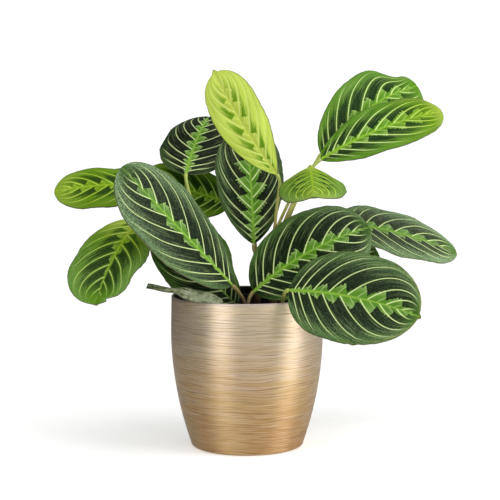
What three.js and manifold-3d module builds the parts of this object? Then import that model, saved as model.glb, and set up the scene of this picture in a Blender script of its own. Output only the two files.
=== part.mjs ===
// A prayer plant in a black nursery pot, sunk in a brushed brass cover pot.
// Millimetres, +Z up. The origin is the middle of the cover pot's flat foot, and the plant's
// best side faces -Y.

import * as THREE from 'three';
import { mergeVertices } from 'three/addons/utils/BufferGeometryUtils.js';
import Module from 'manifold-3d';

const wasm = await Module();
wasm.setup();

// The gap that pieces keep where they touch.
const SEAT = 0.3;

// How far a cutting cylinder stands out past the solid that it cuts.
const CUT_CLEAR = 5;

// Cover pot: a thin spun metal pot whose wall is straight at the top and bellies in to a small foot.
const POT_HEIGHT = 131;
const POT_RIM_RADIUS = 65;
const POT_BELLY_RADIUS = 65.6;
const POT_BELLY_HEIGHT = 100;
const POT_BEND = 0.00177;
const POT_FOOT_RADIUS = 45.5;
const POT_CORNER_HEIGHT = 3;
const POT_CORNER_REACH = 2.4;
const POT_CORNER_LIFT = 0.8;
const POT_WALL = 1.6;
const POT_LIP_FLAT = 0.6;
const POT_FLOOR = 2;
const POT_SIDES = 40;
const POT_WALL_STEPS = 6;
const POT_STEP_CROWDING = 1.2;

// Nursery pot: moulded black plastic with a collar round its rim and drain holes in its floor.
const NURSERY_FOOT_RADIUS = 44;
const NURSERY_TOP_RADIUS = 58.5;
const NURSERY_COLLAR_RADIUS = 61;
const NURSERY_RIM_HEIGHT = 124;
const NURSERY_COLLAR_DEPTH = 8;
const NURSERY_COLLAR_DRAFT = 0.4;
const NURSERY_RIM_ROUNDING = 0.5;
const NURSERY_WALL = 1;
const NURSERY_FLOOR_BOTTOM = POT_FLOOR + SEAT;
const NURSERY_SIDES = 30;
const DRAIN_HOLES = 6;
const DRAIN_RADIUS = 4;
const DRAIN_CIRCLE = 28;
const DRAIN_SIDES = 10;

// Potting soil: its top lies a finger's breadth under the nursery pot's rim and is a little lumpy.
const SOIL_TOP = 113;
const SOIL_LUMP = 1.6;
const SOIL_BROAD_WAVE = 0.2;
const SOIL_FINE_WAVE = 0.33;
const SOIL_FINE_SHARE = 0.6;
const SOIL_LEVEL_BORDER = 0.25;
const SOIL_RINGS = 4;

// Shoots: a short round stem in a plain hole in the soil, with the leaf stalks growing from it.
const STEM_RADIUS = 4;
const STEM_SIDES = 10;
const STEM_ABOVE_SOIL = 4;
const STEM_BELOW_SOIL = 20;
const STALK_ROOT_DEPTH = 3;
const STALK_RADIUS = 1.5;
const STALK_SIDES = 6;
const STALK_STEP = 22;
const STALK_LEAST_STEPS = 4;
const SHEATH_RADIUS = 2.3;
const SHEATH_SHARE = 0.34;
const JOINT_RADIUS = 1.9;
const JOINT_LENGTH = 7;
const JOINT_GREATEST_SHARE = 0.4;
const JOINT_STEPS = 2;
const STRETCH_STEPS = 6;

// Blades: thin oval leaves with a keel under the midrib.
const BLADE_THICKNESS = 0.8;
const KEEL_THICKNESS = 1.6;
const BLADE_BASE_HALF_WIDTH = 1.3;
const BLADE_TIP_HALF_WIDTH = 0.5;
const BLADE_LENGTH_STEPS = 10;
const BLADE_WIDTH_STEPS = 6;
const BLADE_WIDEST = 0.52;
const OUTLINE_POWER = 2.3;
const OUTLINE_ROOT = 1.9;
const MARGIN_WAVE = 1.0;
const MARGIN_WAVES = 2.5;

// Every leaf: where its blade starts, the way its midrib leaves there (heading round Z from +X,
// rise above level, roll about itself), how far it droops, sweeps and twists by its tip, its size,
// where it is widest, and how its halves fold up and cup down. A dent is a stretch where one half is
// narrower: its place along the blade, its side (1 left, -1 right), its depth as a share of the half,
// and its length. A tail is a dried end: where along the blade it starts, and half its width.
const leaves = {
  lemon_top: {
    at: [26, -15, 235], heading: 150, rise: 50, roll: -80, droop: 7, sweep: -7,
    length: 109, width: 46, widest: 0.63, fold: 8, cup: 20,
  },
  upper_left: {
    at: [-52, 8, 235], heading: 73, rise: 50, roll: 10, droop: 37,
    length: 94, width: 67, widest: 0.49, fold: 2, cup: 24, dents: [[0.66, 1, 0.12, 0.25]],
  },
  lime_left: {
    at: [-81, 0, 227], heading: 181, rise: 1, roll: -40, droop: 14, twist: -4,
    length: 85, width: 52, fold: 7, cup: 20, dents: [[0.45, -1, 0.16, 0.3]],
  },
  front_left: {
    at: [-12, -40, 144], heading: 193, rise: 47, roll: -44, droop: 5, sweep: -7, twist: -14,
    length: 135, width: 75, widest: 0.54, fold: 7, cup: 20,
  },
  hanging_left: {
    at: [-92, -25, 197], heading: 223, rise: -44, roll: -16, droop: 1, sweep: 24,
    length: 89, width: 70, fold: 14, cup: 16,
    dents: [[0.25, -1, 0.08, 0.2], [0.68, 1, 0.15, 0.2]],
  },
  centre: {
    at: [6, 10, 174], heading: 100, rise: 85, roll: 8, droop: 3, sweep: 5,
    length: 101, width: 62, widest: 0.6, fold: 7, cup: 21,
  },
  back_top_right: {
    at: [65, 20, 251], heading: 21, rise: 50, roll: 51, droop: 38, sweep: -21,
    length: 122, width: 70, widest: 0.61, fold: 9, cup: 19,
    dents: [[0.87, 1, 0.3, 0.08], [0.3, 1, 0.08, 0.2]],
  },
  front_top_right: {
    at: [64, 4, 247], heading: 1, rise: 32, roll: 55, droop: 35, sweep: -3,
    length: 120, width: 49, widest: 0.58, fold: 10, cup: 19,
  },
  small_right: {
    at: [55, -5, 241], heading: -91, rise: -11, droop: 21, sweep: 3, twist: 6,
    length: 61, width: 62, fold: -9, cup: 27,
  },
  mid_right: {
    at: [6, -20, 136], heading: 0, rise: 42, roll: 68, droop: 40, sweep: -16,
    length: 120, width: 71, fold: 9, cup: 19,
  },
  front_right: {
    at: [35, -62, 142], heading: -23, rise: 2, roll: 53, droop: 18, sweep: -14,
    length: 111, width: 84, widest: 0.48, fold: 9, cup: 19,
  },
  far_right: {
    at: [85, 36, 190], heading: 23, rise: -8, roll: 37, droop: 10, sweep: -10,
    length: 119, width: 66, widest: 0.46, fold: 9, cup: 19, dents: [[0.5, 1, 0.06, 0.3]],
  },
  under_right: {
    at: [53, 2, 154], heading: 19, rise: 9, roll: 64, droop: 30,
    length: 79, width: 53, fold: 11, cup: 17,
  },
  low_left: {
    at: [-9, -15, 124], heading: 183, rise: 47, roll: -76, droop: 6,
    length: 94, width: 64, widest: 0.56, fold: 8, cup: 15,
    dents: [[0.2, -1, 0.24, 0.16], [0.7, 1, 0.1, 0.2]],
  },
  behind_left: {
    at: [-14, 32, 208], heading: 182, rise: 18, roll: -50, droop: 10,
    length: 83, width: 58, fold: 8, cup: 19,
  },
  rim_left: {
    at: [-20, -38, 127.2], heading: 181, rise: 20, roll: -54, droop: 23, twist: 8,
    length: 67, width: 13.5, widest: 0.42, fold: 12, cup: 12, tail: [0.64, 2.5],
  },
  back_left: {
    at: [-38, 46, 196], heading: 145, rise: 18, roll: 45, droop: 28,
    length: 96, width: 58, fold: 8, cup: 20,
  },
  back_centre: {
    at: [6, 46, 200], heading: 88, rise: 30, droop: 50,
    length: 108, width: 62, fold: 8, cup: 20,
  },
  back_right: {
    at: [46, 52, 166], heading: 50, rise: 12, roll: -42, droop: 30,
    length: 108, width: 64, fold: 8, cup: 20,
  },
  back_low_left: {
    at: [-18, 54, 145], heading: 122, rise: 8, roll: 32, droop: 34,
    length: 80, width: 52, fold: 8, cup: 20,
  },
  back_low_right: {
    at: [36, 54, 146], heading: 48, rise: 8, roll: -30, droop: 36,
    length: 92, width: 58, fold: 8, cup: 20,
  },
};

// Every shoot: where it stands in the soil, and for each of its leaves how high the stalk climbs
// straight up and how long it runs in line with the blade at its end.
const shoots = {
  front: { foot: [0, -34], stalks: { front_left: [14, 10], rim_left: [6, 6], mid_right: [8, 6] } },
  right_front: { foot: [30, -36], stalks: { front_right: [16, 5] } },
  centre: {
    foot: [22, 8],
    stalks: { low_left: [3, 6], centre: [26, 18], lemon_top: [105, 12], under_right: [16, 16] },
  },
  left: {
    foot: [-18, 12],
    stalks: { lime_left: [20, 40], hanging_left: [30, 34], upper_left: [20, 16] },
  },
  right: {
    foot: [8, 19],
    stalks: {
      back_top_right: [10, 30], front_top_right: [12, 24], small_right: [50, 22], far_right: [40, 30],
    },
  },
  back: {
    foot: [9, 38],
    stalks: { behind_left: [20, 30], back_centre: [50, 20] },
  },
  back_right: { foot: [28, 34], stalks: { back_right: [30, 18], back_low_right: [16, 14] } },
  back_left: { foot: [-22, 36], stalks: { back_left: [30, 10], back_low_left: [14, 14] } },
};

const brass = new THREE.MeshStandardMaterial({ color: 0xb8935a, roughness: 0.38, metalness: 0.9 });
const blackPlastic = new THREE.MeshStandardMaterial({ color: 0x17181a, roughness: 0.55, metalness: 0 });
const pottingSoil = new THREE.MeshStandardMaterial({ color: 0x2b211a, roughness: 0.95, metalness: 0 });
const stalkGreen = new THREE.MeshStandardMaterial({ color: 0x8a8f4e, roughness: 0.6, metalness: 0 });
const darkLeaf = new THREE.MeshStandardMaterial({ color: 0x35602f, roughness: 0.42, metalness: 0 });
const brightLeaf = new THREE.MeshStandardMaterial({ color: 0x6f9a33, roughness: 0.45, metalness: 0 });
const lemonLeaf = new THREE.MeshStandardMaterial({ color: 0xb6cf4c, roughness: 0.45, metalness: 0 });
const paleLeaf = new THREE.MeshStandardMaterial({ color: 0x8fa07c, roughness: 0.6, metalness: 0 });
const leafMaterials = {
  lemon_top: lemonLeaf,
  lime_left: brightLeaf,
  hanging_left: brightLeaf,
  small_right: brightLeaf,
  back_top_right: brightLeaf,
  front_top_right: brightLeaf,
  behind_left: brightLeaf,
  back_left: brightLeaf,
  rim_left: paleLeaf,
};

const plant = new THREE.Group();

function add(name, geometry, material) {
  const mesh = new THREE.Mesh(geometry, material);
  mesh.name = name;
  plant.add(mesh);
}

// A closed mesh as a solid that can be joined and cut, and back again.
function toSolid(geometry) {
  const bare = geometry.clone();
  bare.deleteAttribute('normal');
  bare.deleteAttribute('uv');
  const merged = mergeVertices(bare, 1e-4);
  return new wasm.Manifold(new wasm.Mesh({
    numProp: 3,
    vertProperties: new Float32Array(merged.attributes.position.array),
    triVerts: new Uint32Array(merged.index.array),
  }));
}

function toGeometry(solid) {
  const mesh = solid.getMesh();
  const geometry = new THREE.BufferGeometry();
  geometry.setAttribute('position', new THREE.BufferAttribute(new Float32Array(mesh.vertProperties), 3));
  geometry.setIndex(new THREE.BufferAttribute(new Uint32Array(mesh.triVerts), 1));
  geometry.computeVertexNormals();
  return geometry;
}

// A profile of [radius, height] pairs turned round Z.
function turned(profile, sides) {
  const points = profile.map(([radius, height]) => new THREE.Vector2(radius, height));
  return new THREE.LatheGeometry(points, sides).rotateX(Math.PI / 2);
}

function upright(x, y, bottom, top, radius, sides) {
  const height = top - bottom;
  return new THREE.CylinderGeometry(radius, radius, height, sides)
    .rotateX(Math.PI / 2)
    .translate(x, y, bottom + height / 2);
}

// The cover pot's outer radius at a height.
function potRadius(height) {
  if (height >= POT_BELLY_HEIGHT) {
    const share = (height - POT_BELLY_HEIGHT) / (POT_HEIGHT - POT_BELLY_HEIGHT);
    return THREE.MathUtils.lerp(POT_BELLY_RADIUS, POT_RIM_RADIUS, share);
  }
  return POT_BELLY_RADIUS - POT_BEND * (POT_BELLY_HEIGHT - height) ** 2;
}

function makePot() {
  const lip = POT_WALL / 2;
  const lipMiddle = POT_RIM_RADIUS - lip;
  const outer = [];
  const inner = [];
  for (let step = 0; step <= POT_WALL_STEPS; step += 1) {
    // The wall is stepped more closely near the foot, where it bends in.
    const share = (step / POT_WALL_STEPS) ** POT_STEP_CROWDING;
    const height = THREE.MathUtils.lerp(POT_CORNER_HEIGHT, POT_HEIGHT - lip, share);
    outer.push([potRadius(height), height]);
    inner.unshift([potRadius(height) - POT_WALL, height]);
  }
  const profile = [
    [0, 0],
    [POT_FOOT_RADIUS, 0],
    [POT_FOOT_RADIUS + POT_CORNER_REACH, POT_CORNER_LIFT],
    ...outer,
    [lipMiddle + lip * POT_LIP_FLAT, POT_HEIGHT],
    [lipMiddle - lip * POT_LIP_FLAT, POT_HEIGHT],
    ...inner,
    [POT_FOOT_RADIUS, POT_FLOOR],
    [0, POT_FLOOR],
  ];
  add('pot', turned(profile, POT_SIDES), brass);
}

// The nursery pot's inner radius at a height.
function nurseryInside(height) {
  const share = (height - NURSERY_FLOOR_BOTTOM) / (NURSERY_RIM_HEIGHT - NURSERY_FLOOR_BOTTOM);
  return THREE.MathUtils.lerp(NURSERY_FOOT_RADIUS, NURSERY_TOP_RADIUS, share) - NURSERY_WALL;
}

function makeNurseryPot() {
  const floorTop = NURSERY_FLOOR_BOTTOM + NURSERY_WALL;
  const collarBottom = NURSERY_RIM_HEIGHT - NURSERY_COLLAR_DEPTH;
  const profile = [
    [0, NURSERY_FLOOR_BOTTOM],
    [NURSERY_FOOT_RADIUS, NURSERY_FLOOR_BOTTOM],
    [nurseryInside(collarBottom) + NURSERY_WALL, collarBottom],
    [NURSERY_COLLAR_RADIUS - NURSERY_COLLAR_DRAFT, collarBottom],
    [NURSERY_COLLAR_RADIUS, NURSERY_RIM_HEIGHT - NURSERY_RIM_ROUNDING],
    [NURSERY_COLLAR_RADIUS - NURSERY_RIM_ROUNDING, NURSERY_RIM_HEIGHT],
    [nurseryInside(NURSERY_RIM_HEIGHT), NURSERY_RIM_HEIGHT],
    [nurseryInside(floorTop), floorTop],
    [0, floorTop],
  ];
  let shell = toSolid(turned(profile, NURSERY_SIDES));
  for (let hole = 0; hole < DRAIN_HOLES; hole += 1) {
    const angle = (hole / DRAIN_HOLES) * 2 * Math.PI;
    const x = DRAIN_CIRCLE * Math.cos(angle);
    const y = DRAIN_CIRCLE * Math.sin(angle);
    const drain = upright(x, y, -CUT_CLEAR, floorTop + CUT_CLEAR, DRAIN_RADIUS, DRAIN_SIDES);
    shell = shell.subtract(toSolid(drain));
  }
  add('nursery_pot', toGeometry(shell), blackPlastic);
}

// How far the soil's top stands above or below its level, in lumps that die out at the pot's wall.
function soilLump(x, y, edge) {
  const broad = Math.sin(x * SOIL_BROAD_WAVE + 1) * Math.cos(y * SOIL_BROAD_WAVE);
  const fine = Math.sin((y - x / 3) * SOIL_FINE_WAVE);
  const inward = 1 - Math.hypot(x, y) / edge;
  return SOIL_LUMP * (broad + SOIL_FINE_SHARE * fine) * Math.min(1, inward / SOIL_LEVEL_BORDER);
}

function makeSoil() {
  const bottom = NURSERY_FLOOR_BOTTOM + NURSERY_WALL + SEAT;
  const edge = nurseryInside(SOIL_TOP) - SEAT;
  const profile = [
    [0, bottom],
    [nurseryInside(bottom) - SEAT, bottom],
  ];
  for (let ring = 0; ring < SOIL_RINGS; ring += 1) {
    profile.push([edge * (1 - ring / SOIL_RINGS), SOIL_TOP]);
  }
  profile.push([0, SOIL_TOP]);
  const heap = turned(profile, NURSERY_SIDES);
  const place = heap.attributes.position;
  for (let index = 0; index < place.count; index += 1) {
    if (place.getZ(index) > bottom + SEAT) {
      place.setZ(index, SOIL_TOP + soilLump(place.getX(index), place.getY(index), edge));
    }
  }
  let soil = toSolid(heap);
  const holeBottom = SOIL_TOP - STEM_BELOW_SOIL - SEAT;
  for (const { foot } of Object.values(shoots)) {
    const hole = upright(...foot, holeBottom, SOIL_TOP + CUT_CLEAR, STEM_RADIUS + SEAT, STEM_SIDES);
    soil = soil.subtract(toSolid(hole));
  }
  add('soil', toGeometry(soil), pottingSoil);
}

// A leaf's directions at a share of its length: along the midrib, to its left, and out of its face.
function bladeDirections(leaf, along) {
  const turn = THREE.MathUtils.degToRad;
  const heading = turn(leaf.heading);
  const rise = turn(leaf.rise);
  const roll = turn(leaf.roll ?? 0);
  const forward = new THREE.Vector3(
    Math.cos(rise) * Math.cos(heading),
    Math.cos(rise) * Math.sin(heading),
    Math.sin(rise),
  );
  const left = new THREE.Vector3(-Math.sin(heading), Math.cos(heading), 0).applyAxisAngle(forward, roll);
  const out = new THREE.Vector3().crossVectors(forward, left);
  const droop = turn(leaf.droop ?? 0) * along;
  const sweep = turn(leaf.sweep ?? 0) * along;
  const midrib = forward.clone().multiplyScalar(Math.cos(droop) * Math.cos(sweep))
    .addScaledVector(left, Math.cos(droop) * Math.sin(sweep))
    .addScaledVector(out, -Math.sin(droop));
  const side = forward.clone().multiplyScalar(-Math.sin(sweep))
    .addScaledVector(left, Math.cos(sweep))
    .applyAxisAngle(midrib, turn(leaf.twist ?? 0) * along);
  return { midrib, side, face: new THREE.Vector3().crossVectors(midrib, side).normalize() };
}

// Half the blade's width at a share of its length: an oval whose widest place can move.
function bladeHalfWidth(leaf, along) {
  const [tailStart, tailHalf] = leaf.tail ?? [1, BLADE_TIP_HALF_WIDTH];
  const withinOval = Math.min(1, along / tailStart);
  const shifted = withinOval ** (Math.log(0.5) / Math.log(leaf.widest ?? BLADE_WIDEST));
  const oval = Math.max(0, 1 - Math.abs(2 * shifted - 1) ** OUTLINE_POWER) ** (1 / OUTLINE_ROOT);
  const least = THREE.MathUtils.lerp(BLADE_BASE_HALF_WIDTH, tailHalf, withinOval);
  return Math.max(least, leaf.width / 2 * oval);
}

// How much of its width one half of a blade keeps where it is dented.
function marginShare(leaf, along, halfSide) {
  let share = 1;
  for (const [place, side, depth, length] of leaf.dents ?? []) {
    if (side === halfSide) share -= depth * Math.exp(-(((along - place) / length) ** 2));
  }
  return share;
}

// The margins wave a little, and each leaf's waves begin at a place of their own.
function marginWave(leaf, along, across) {
  const turn = 2 * Math.PI * MARGIN_WAVES * along + leaf.heading;
  return MARGIN_WAVE * across ** 2 * Math.sin(turn) * Math.sin(Math.PI * along);
}

function makeBlade(name, leaf) {
  const fold = THREE.MathUtils.degToRad(leaf.fold);
  const cup = THREE.MathUtils.degToRad(leaf.cup);
  const upper = [];
  const lower = [];
  const midribPoint = new THREE.Vector3(...leaf.at);
  let before = 0;
  for (let row = 0; row <= BLADE_LENGTH_STEPS; row += 1) {
    // Rows lie closer together at the base and the tip, where the outline turns.
    const along = (1 - Math.cos(Math.PI * row / BLADE_LENGTH_STEPS)) / 2;
    const halfway = bladeDirections(leaf, (along + before) / 2);
    midribPoint.addScaledVector(halfway.midrib, leaf.length * (along - before));
    before = along;
    const { side, face } = bladeDirections(leaf, along);
    const half = bladeHalfWidth(leaf, along);
    for (let column = 0; column <= BLADE_WIDTH_STEPS; column += 1) {
      const across = 2 * column / BLADE_WIDTH_STEPS - 1;
      const slope = fold - cup * Math.abs(across);
      const share = Math.sign(across) * marginShare(leaf, along, Math.sign(across));
      const reach = half / cup * (Math.sin(fold) - Math.sin(slope)) * share;
      const lift = half / cup * (Math.cos(slope) - Math.cos(fold));
      const point = midribPoint.clone()
        .addScaledVector(side, reach)
        .addScaledVector(face, lift + marginWave(leaf, along, across));
      const thickness = across === 0 ? KEEL_THICKNESS : BLADE_THICKNESS;
      upper.push(point.clone().addScaledVector(face, BLADE_THICKNESS / 2));
      lower.push(point.clone().addScaledVector(face, BLADE_THICKNESS / 2 - thickness));
    }
  }

  const columns = BLADE_WIDTH_STEPS + 1;
  const under = upper.length;
  const faces = [];
  const quad = (a, b, c, d) => faces.push(a, b, c, a, c, d);
  for (let row = 0; row < BLADE_LENGTH_STEPS; row += 1) {
    for (let column = 0; column < BLADE_WIDTH_STEPS; column += 1) {
      const corner = row * columns + column;
      const [a, b, c, d] = [corner, corner + columns, corner + columns + 1, corner + 1];
      // Both faces are split on the same diagonal, so that they stay a true thickness apart.
      quad(a, b, c, d);
      quad(under + a, under + d, under + c, under + b);
    }
    const start = row * columns;
    const end = start + BLADE_WIDTH_STEPS;
    quad(start, under + start, under + start + columns, start + columns);
    quad(end + columns, under + end + columns, under + end, end);
  }
  const last = BLADE_LENGTH_STEPS * columns;
  for (let column = 0; column < BLADE_WIDTH_STEPS; column += 1) {
    quad(column + 1, under + column + 1, under + column, column);
    quad(last + column, under + last + column, under + last + column + 1, last + column + 1);
  }
  const geometry = new THREE.BufferGeometry().setFromPoints([...upper, ...lower]);
  geometry.setIndex(faces);
  geometry.computeVertexNormals();
  add(`leaf_${name}`, geometry, leafMaterials[name] ?? darkLeaf);
}

// A rod of many sides that follows a curve.
function tube(path, radius, steps) {
  const corners = [];
  for (let side = 0; side < STALK_SIDES; side += 1) {
    const angle = (side / STALK_SIDES) * 2 * Math.PI;
    corners.push(new THREE.Vector2(radius * Math.cos(angle), radius * Math.sin(angle)));
  }
  const section = new THREE.Shape(corners);
  return new THREE.ExtrudeGeometry(section, { steps, extrudePath: path, bevelEnabled: false });
}

// Part of a curve, as a curve of its own.
function stretch(curve, from, to) {
  const points = [];
  for (let step = 0; step <= STRETCH_STEPS; step += 1) {
    points.push(curve.getPointAt(THREE.MathUtils.lerp(from, to, step / STRETCH_STEPS)));
  }
  return new THREE.CatmullRomCurve3(points);
}

// A leaf stalk: sheathed where it leaves the stem, slim above, with the swollen joint that turns
// the blade at its end.
function stalkSolid([footX, footY], leaf, [climb, run]) {
  const { midrib } = bladeDirections(leaf, 0);
  const end = new THREE.Vector3(...leaf.at).addScaledVector(midrib, -SEAT);
  const start = new THREE.Vector3(footX, footY, SOIL_TOP + STEM_ABOVE_SOIL - STALK_ROOT_DEPTH);
  const curve = new THREE.CubicBezierCurve3(
    start,
    start.clone().add(new THREE.Vector3(0, 0, climb + STALK_ROOT_DEPTH)),
    end.clone().addScaledVector(midrib, -run),
    end,
  );
  const length = curve.getLength();
  const steps = Math.max(STALK_LEAST_STEPS, Math.round(length / STALK_STEP));
  const sheathSteps = Math.ceil(steps * SHEATH_SHARE);
  const jointShare = Math.min(JOINT_GREATEST_SHARE, JOINT_LENGTH / length);
  const slim = tube(curve, STALK_RADIUS, steps);
  const sheath = tube(stretch(curve, 0, SHEATH_SHARE), SHEATH_RADIUS, sheathSteps);
  const joint = tube(stretch(curve, 1 - jointShare, 1), JOINT_RADIUS, JOINT_STEPS);
  return toSolid(slim).add(toSolid(sheath)).add(toSolid(joint));
}

function makeShoot(name, { foot, stalks }) {
  const bottom = SOIL_TOP - STEM_BELOW_SOIL;
  const top = SOIL_TOP + STEM_ABOVE_SOIL;
  let shoot = toSolid(upright(...foot, bottom, top, STEM_RADIUS, STEM_SIDES));
  for (const [leafName, reach] of Object.entries(stalks)) {
    shoot = shoot.add(stalkSolid(foot, leaves[leafName], reach));
  }
  add(`shoot_${name}`, toGeometry(shoot), stalkGreen);
}

makePot();
makeNurseryPot();
makeSoil();
for (const [name, shoot] of Object.entries(shoots)) makeShoot(name, shoot);
for (const [name, leaf] of Object.entries(leaves)) makeBlade(name, leaf);

export default plant;
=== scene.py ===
import math
import random

import bmesh
import bpy
from mathutils import Euler, Matrix, Vector, noise


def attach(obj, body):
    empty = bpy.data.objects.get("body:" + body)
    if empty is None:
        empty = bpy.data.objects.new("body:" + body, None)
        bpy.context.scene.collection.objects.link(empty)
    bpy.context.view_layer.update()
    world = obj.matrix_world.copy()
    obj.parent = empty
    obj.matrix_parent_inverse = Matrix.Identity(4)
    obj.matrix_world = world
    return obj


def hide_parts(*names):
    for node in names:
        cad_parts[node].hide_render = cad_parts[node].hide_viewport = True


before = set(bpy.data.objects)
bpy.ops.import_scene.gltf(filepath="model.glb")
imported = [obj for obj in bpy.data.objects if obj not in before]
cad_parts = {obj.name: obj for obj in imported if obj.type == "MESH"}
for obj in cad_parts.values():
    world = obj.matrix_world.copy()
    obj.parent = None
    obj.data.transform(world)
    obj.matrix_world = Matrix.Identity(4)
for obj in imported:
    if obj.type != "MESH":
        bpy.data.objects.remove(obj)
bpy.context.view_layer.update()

scene = bpy.context.scene


# The picture: a long lens stands 1.3 metres from the pot, level with the upper leaves, and looks a
# little down on a white table top, between two tall soft lamps and one overhead.
FOCAL_LENGTH_PIXELS = 1517
PICTURE_PIXELS = 500
SENSOR_WIDTH = 36.0
CAMERA_PLACE = Vector((0.0029, -1.3, 0.294))
CAMERA_LOOKS_DOWN = 5.47
CAMERA_LEANS = -0.2
TABLE_DROP = 0.0003
TABLE_RADIUS = 0.9
TABLE_SIDES = 96
TABLE_WHITE = (0.9, 0.9, 0.9, 1)
TABLE_GLOW = 0.46
TABLE_GLOW_SEEN = (1, 1, 1, 1)
TABLE_GLOW_UNSEEN = (0.3, 0.3, 0.3, 1)
TABLE_SOLID_WITHIN = 0.3
TABLE_GONE_BEYOND = 0.85
LAMPS_AIM_AT = Vector((0, 0, 0.17))
ROOM_WHITE = (1, 1, 1, 1)
ROOM_SEEN = 1.1
ROOM_ON_LEFT = 0.06
ROOM_ON_RIGHT = 0.50

camera_data = bpy.data.cameras.new("camera")
camera_data.sensor_width = SENSOR_WIDTH
camera_data.lens = FOCAL_LENGTH_PIXELS / PICTURE_PIXELS * SENSOR_WIDTH
camera = bpy.data.objects.new("camera", camera_data)
scene.collection.objects.link(camera)
camera.matrix_world = (
    Matrix.Translation(CAMERA_PLACE)
    @ Matrix.Rotation(math.radians(90 - CAMERA_LOOKS_DOWN), 4, "X")
    @ Matrix.Rotation(math.radians(CAMERA_LEANS), 4, "Z")
)
scene.camera = camera
scene.view_settings.view_transform = "Standard"


def linear(red, green, blue):
    """A colour of 0 to 255, as a screen shows it, in the shader's own linear light."""
    parts = []
    for part in (red / 255, green / 255, blue / 255):
        parts.append(part / 12.92 if part <= 0.04045 else ((part + 0.055) / 1.055) ** 2.4)
    return (*parts, 1.0)


class Wire:
    """An output of a shader node. Sums on wires add Math nodes, and node() adds any other node."""

    def __init__(self, tree, socket=None):
        self.tree = tree
        self.socket = socket

    def node(self, kind, settings=None, sockets=None, output=0):
        made = self.tree.nodes.new("ShaderNode" + kind)
        settings = dict(settings or {})
        stops = settings.pop("stops", [])
        for name, value in settings.items():
            setattr(made, name, value)
        for index, (place, colour) in enumerate(stops):
            ramp = made.color_ramp.elements
            stop = ramp[index] if index < 2 else ramp.new(place)
            stop.position = place
            stop.color = colour
        for name, value in (sockets or {}).items():
            if isinstance(value, Wire):
                self.tree.links.new(value.socket, made.inputs[name])
            else:
                made.inputs[name].default_value = value
        return Wire(self.tree, made.outputs[output])

    def maths(self, operation, *values):
        return self.node("Math", {"operation": operation}, dict(enumerate(values)))

    def mix(self, share, first, second):
        return self.node("Mix", {"data_type": "RGBA"}, {0: share, 6: first, 7: second}, 2)

    def step(self, low, high):
        """0 below low and 1 above high, with a soft step between; low may be the greater."""
        return self.node(
            "MapRange",
            {"interpolation_type": "SMOOTHSTEP"},
            {"Value": self, "From Min": low, "From Max": high},
        )

    def __add__(self, other):
        return self.maths("ADD", self, other)

    def __radd__(self, other):
        return self.maths("ADD", other, self)

    def __sub__(self, other):
        return self.maths("SUBTRACT", self, other)

    def __rsub__(self, other):
        return self.maths("SUBTRACT", other, self)

    def __mul__(self, other):
        return self.maths("MULTIPLY", self, other)

    def __rmul__(self, other):
        return self.maths("MULTIPLY", other, self)

    def __truediv__(self, other):
        return self.maths("DIVIDE", self, other)


def new_material(name, **constants):
    """A material with its own Principled shader, and the wire that its nodes start from."""
    material = bpy.data.materials.new(name)
    material.use_nodes = True
    shader = material.node_tree.nodes["Principled BSDF"]
    for socket, value in constants.items():
        shader.inputs[socket.replace("_", " ")].default_value = value
    return material, shader, Wire(material.node_tree)


def feed(shader, socket, wire):
    """Leads a wire into a socket of a shader."""
    wire.tree.links.new(wire.socket, shader.inputs[socket])


def new_piece(name, mesh, materials, smooth=True):
    """A bmesh as an object at the origin, with its materials in slot order."""
    data = bpy.data.meshes.new(name)
    mesh.to_mesh(data)
    mesh.free()
    for material in materials:
        data.materials.append(material)
    if smooth:
        data.polygons.foreach_set("use_smooth", [True] * len(data.polygons))
    piece = bpy.data.objects.new(name, data)
    scene.collection.objects.link(piece)
    return piece


table_mesh = bmesh.new()
bmesh.ops.create_circle(table_mesh, cap_ends=True, segments=TABLE_SIDES, radius=TABLE_RADIUS)
bmesh.ops.translate(table_mesh, verts=table_mesh.verts, vec=(0, 0, -TABLE_DROP))
table_white, table_shader, wire = new_material(
    "white_table", Base_Color=TABLE_WHITE, Roughness=0.8, Emission_Strength=TABLE_GLOW,
)
seen = wire.node("LightPath", output="Is Camera Ray")
feed(table_shader, "Emission Color", wire.mix(seen, TABLE_GLOW_UNSEEN, TABLE_GLOW_SEEN))
# The table's white runs out into the white of the room.
from_pot = wire.node(
    "VectorMath", {"operation": "LENGTH"}, {0: wire.node("TexCoord", output="Object")}, "Value"
)
feed(table_shader, "Alpha", from_pot.step(TABLE_GONE_BEYOND, TABLE_SOLID_WITHIN))
table_top = new_piece("table_top", table_mesh, [table_white], smooth=False)


def soft_lamp(name, place, width, height, power):
    """A softbox that faces the plant."""
    data = bpy.data.lights.new(name, "AREA")
    data.shape = "RECTANGLE"
    data.size = width
    data.size_y = height
    data.energy = power
    lamp = bpy.data.objects.new(name, data)
    scene.collection.objects.link(lamp)
    lamp.location = place
    lamp.rotation_euler = (Vector(place) - LAMPS_AIM_AT).to_track_quat("Z", "Y").to_euler()


soft_lamp("left_lamp", place=(-0.80, -1.02, 0.52), width=0.66, height=1.2, power=7.0)
soft_lamp("right_lamp", place=(1.15, -0.5, 0.5), width=0.74, height=1.1, power=10.3)
soft_lamp("top_lamp", place=(0.1, -0.3, 1.5), width=1.3, height=1.3, power=9.0)

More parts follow.
